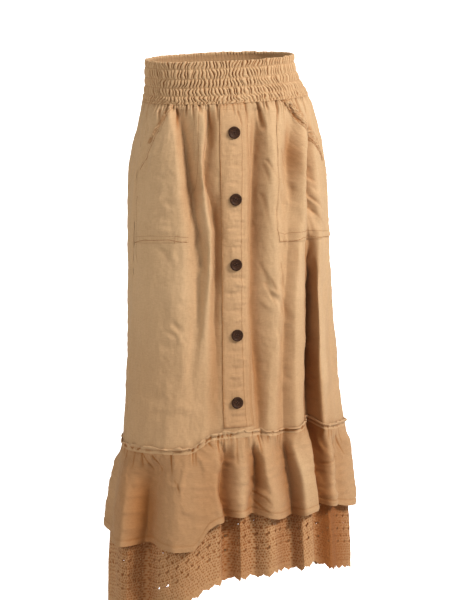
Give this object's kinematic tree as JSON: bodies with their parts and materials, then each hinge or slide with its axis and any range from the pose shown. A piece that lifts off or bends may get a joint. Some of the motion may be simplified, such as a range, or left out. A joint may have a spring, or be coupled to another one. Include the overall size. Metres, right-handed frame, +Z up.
{
  "type": "maxi skirt",
  "caption": "Worn-form maxi skirt with a shirred elastic waistband, buttoned placket, patch pockets, gathered flounce and scalloped lace tier.",
  "frame": {"origin": "middle of the waist's opening, at its top row of stitches, where the wearer's waist holds the skirt", "axes": "+Z up, -Y is the front with the placket, +X to the right as the front is seen"},
  "size_m": [0.4904, 0.3853, 1.0456],
  "materials": {
    "skirt_cloth": "plain-woven cotton and linen, warm sand colour, soft and slightly slubbed",
    "waist_cloth": "the same cloth, shirred on elastic in even rows",
    "cotton_lace": "cotton lace with small round motifs and a pointed edge, the cloth's colour",
    "button_horn": "dark brown horn look, semi-gloss, dished, with four holes"
  },
  "bodies": {
    "root": {"waistband": "waist_cloth", "front_panel_left": "skirt_cloth", "front_panel_right": "skirt_cloth", "back_panel": "skirt_cloth", "placket": "skirt_cloth", "pocket_left": "skirt_cloth", "pocket_right": "skirt_cloth", "pocket_trim_left": "skirt_cloth", "pocket_trim_right": "skirt_cloth", "flounce_front": "skirt_cloth", "flounce_back": "skirt_cloth", "lace_front": "cotton_lace", "lace_back": "cotton_lace", "button_1": "button_horn", "button_2": "button_horn", "button_3": "button_horn", "button_4": "button_horn", "button_5": "button_horn"}
  },
  "joints": []
}
